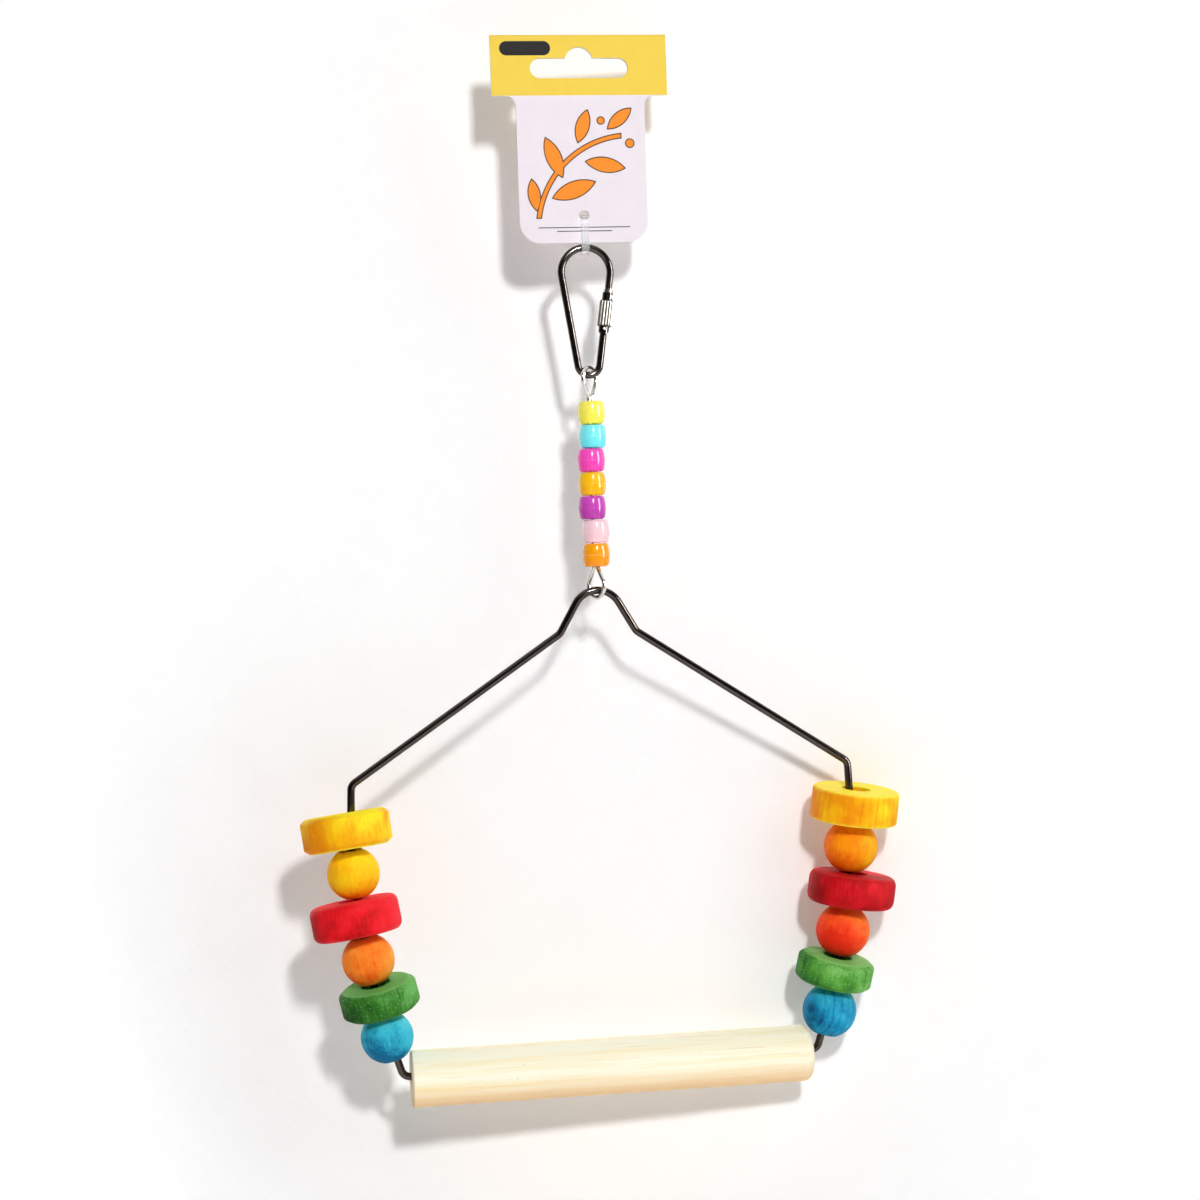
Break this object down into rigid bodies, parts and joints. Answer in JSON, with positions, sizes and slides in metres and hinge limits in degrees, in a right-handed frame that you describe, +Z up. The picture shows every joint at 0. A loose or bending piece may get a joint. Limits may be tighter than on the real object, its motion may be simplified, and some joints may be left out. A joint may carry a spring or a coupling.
{
  "type": "bird swing",
  "caption": "Hanging bird swing with a dowel perch in a bent wire frame, stacked wooden rings and balls, a beaded link, a screw-lock snap hook and a folded header card.",
  "frame": {"origin": "centre of the round arch in the header card's hang slot, where the display peg bears, midway between the card's two leaves", "axes": "+Z up, along the hanging line; +X along the perch, to the right as seen from the front; +Y from the front to the back"},
  "size_m": [0.1974, 0.0296, 0.3444],
  "materials": {
    "printed_card": "printed, satin",
    "clear_nylon": "translucent",
    "nickel_plate": "polished",
    "bright_steel": "plain",
    "bead_lemon_plastic": "glossy",
    "bead_aqua_plastic": "glossy",
    "bead_magenta_plastic": "glossy",
    "bead_amber_plastic": "glossy",
    "bead_violet_plastic": "glossy",
    "bead_pink_plastic": "glossy",
    "bead_orange_plastic": "glossy",
    "raw_pine": "bare, fine grain",
    "blue_ball_dye": "dyed, satin",
    "green_ring_dye": "dyed, satin",
    "orange_ball_dye": "dyed, satin",
    "red_ring_dye": "dyed, satin",
    "amber_ball_dye": "dyed, satin",
    "yellow_ring_dye": "dyed, satin"
  },
  "bodies": {
    "card": {"header_card": "printed_card"},
    "tie": {"cable_tie": "clear_nylon"},
    "hook": {"hook_body": "nickel_plate", "gate_latch_pin": "bright_steel"},
    "gate": {"hook_gate": "nickel_plate", "gate_hinge_pin": "bright_steel", "gate_plunger": "bright_steel", "gate_spring": "bright_steel"},
    "nut": {"lock_nut": "nickel_plate"},
    "link": {"bead_link": "nickel_plate"},
    "bead_orange": {"bead_orange": "bead_orange_plastic"},
    "bead_pink": {"bead_pink": "bead_pink_plastic"},
    "bead_violet": {"bead_violet": "bead_violet_plastic"},
    "bead_amber": {"bead_amber": "bead_amber_plastic"},
    "bead_magenta": {"bead_magenta": "bead_magenta_plastic"},
    "bead_aqua": {"bead_aqua": "bead_aqua_plastic"},
    "bead_lemon": {"bead_lemon": "bead_lemon_plastic"},
    "frame": {"swing_frame": "nickel_plate"},
    "perch": {"perch": "raw_pine"},
    "left_blue_ball": {"left_blue_ball": "blue_ball_dye"},
    "left_green_ring": {"left_green_ring": "green_ring_dye"},
    "left_orange_ball": {"left_orange_ball": "orange_ball_dye"},
    "left_red_ring": {"left_red_ring": "red_ring_dye"},
    "left_amber_ball": {"left_amber_ball": "amber_ball_dye"},
    "left_yellow_ring": {"left_yellow_ring": "yellow_ring_dye"},
    "right_blue_ball": {"right_blue_ball": "blue_ball_dye"},
    "right_green_ring": {"right_green_ring": "green_ring_dye"},
    "right_orange_ball": {"right_orange_ball": "orange_ball_dye"},
    "right_red_ring": {"right_red_ring": "red_ring_dye"},
    "right_amber_ball": {"right_amber_ball": "amber_ball_dye"},
    "right_yellow_ring": {"right_yellow_ring": "yellow_ring_dye"}
  },
  "joints": [
    {"name": "tie_swing", "type": "hinge", "parent": "card", "child": "tie", "pos_m": [0, 0, -0.0498], "axis": [0, 1, 0], "range_deg": [-6, 6]},
    {"name": "hook_swing", "type": "hinge", "parent": "tie", "child": "hook", "pos_m": [0, 0, -0.06005], "axis": [1, 0, 0], "range_deg": [-45, 45]},
    {"name": "gate_hinge", "type": "hinge", "parent": "hook", "child": "gate", "pos_m": [0.00533, 0, -0.08644], "axis": [0, -1, 0], "range_deg": [0, 25], "stiffness_Nm_per_rad": 0.01, "springref_deg": -11.46},
    {"name": "nut_travel", "type": "slide", "parent": "gate", "child": "nut", "axis": [0.1481, 0, 0.989], "range_m": [-0.001, 0.004]},
    {"name": "link_swing", "type": "hinge", "parent": "hook", "child": "link", "pos_m": [0, 0, -0.09775], "axis": [0, 1, 0], "range_deg": [-20, 20]},
    {"name": "beads_lift", "type": "slide", "parent": "link", "child": "bead_orange", "axis": [0, 0, 1], "range_m": [0, 0.001]},
    {"name": "bead_pink_spin", "type": "hinge", "parent": "bead_orange", "child": "bead_pink", "pos_m": [0.0004, 0, -0.16353], "axis": [0, 0, 1], "continuous": true},
    {"name": "bead_violet_spin", "type": "hinge", "parent": "bead_orange", "child": "bead_violet", "pos_m": [-0.0005, 0, -0.16353], "axis": [0, 0, 1], "continuous": true},
    {"name": "bead_amber_spin", "type": "hinge", "parent": "bead_orange", "child": "bead_amber", "pos_m": [-0.00025, 0, -0.16353], "axis": [0, 0, 1], "continuous": true},
    {"name": "bead_magenta_spin", "type": "hinge", "parent": "bead_orange", "child": "bead_magenta", "pos_m": [-0.00031, 0, -0.16353], "axis": [0, 0, 1], "continuous": true},
    {"name": "bead_aqua_spin", "type": "hinge", "parent": "bead_orange", "child": "bead_aqua", "pos_m": [0.00038, 0, -0.16353], "axis": [0, 0, 1], "continuous": true},
    {"name": "bead_lemon_spin", "type": "hinge", "parent": "bead_orange", "child": "bead_lemon", "pos_m": [0.00025, 0, -0.16353], "axis": [0, 0, 1], "continuous": true},
    {"name": "frame_swing", "type": "hinge", "parent": "link", "child": "frame", "pos_m": [0, 0, -0.17125], "axis": [1, 0, 0], "range_deg": [-60, 60]},
    {"name": "perch_spin", "type": "hinge", "parent": "frame", "child": "perch", "pos_m": [0, 0, -0.32658], "axis": [1, 0, 0], "continuous": true},
    {"name": "left_stack_lift", "type": "slide", "parent": "frame", "child": "left_blue_ball", "axis": [-0.1455, 0, 0.9894], "range_m": [0, 0.004]},
    {"name": "left_green_ring_spin", "type": "hinge", "parent": "left_blue_ball", "child": "left_green_ring", "pos_m": [-0.07526, 0, -0.2997], "axis": [-0.2144, -0.0872, 0.9729], "continuous": true},
    {"name": "left_orange_ball_spin", "type": "hinge", "parent": "left_blue_ball", "child": "left_orange_ball", "pos_m": [-0.07836, 0, -0.28727], "axis": [-0.2038, 0, 0.979], "continuous": true},
    {"name": "left_red_ring_spin", "type": "hinge", "parent": "left_blue_ball", "child": "left_red_ring", "pos_m": [-0.08185, 0, -0.27358], "axis": [-0.1523, 0.0872, 0.9845], "continuous": true},
    {"name": "left_amber_ball_spin", "type": "hinge", "parent": "left_blue_ball", "child": "left_amber_ball", "pos_m": [-0.0821, 0, -0.25923], "axis": [-0.1352, 0, 0.9908], "continuous": true},
    {"name": "left_yellow_ring_spin", "type": "hinge", "parent": "left_blue_ball", "child": "left_yellow_ring", "pos_m": [-0.08387, 0, -0.2454], "axis": [-0.1187, 0.1045, 0.9874], "continuous": true},
    {"name": "right_stack_lift", "type": "slide", "parent": "frame", "child": "right_blue_ball", "axis": [0.1452, 0, 0.9894], "range_m": [0, 0.004]},
    {"name": "right_green_ring_spin", "type": "hinge", "parent": "right_blue_ball", "child": "right_green_ring", "pos_m": [0.07524, 0, -0.29975], "axis": [0.2143, -0.1045, 0.9712], "continuous": true},
    {"name": "right_orange_ball_spin", "type": "hinge", "parent": "right_blue_ball", "child": "right_orange_ball", "pos_m": [0.07845, 0, -0.28677], "axis": [0.2016, -0.0175, 0.9793], "continuous": true},
    {"name": "right_red_ring_spin", "type": "hinge", "parent": "right_blue_ball", "child": "right_red_ring", "pos_m": [0.08189, 0, -0.27327], "axis": [0.1515, -0.0175, 0.9883], "continuous": true},
    {"name": "right_amber_ball_spin", "type": "hinge", "parent": "right_blue_ball", "child": "right_amber_ball", "pos_m": [0.08211, 0, -0.25907], "axis": [0.1345, -0.0175, 0.9908], "continuous": true},
    {"name": "right_yellow_ring_spin", "type": "hinge", "parent": "right_blue_ball", "child": "right_yellow_ring", "pos_m": [0.08387, 0, -0.24532], "axis": [0.1186, -0.0872, 0.9891], "continuous": true}
  ]
}
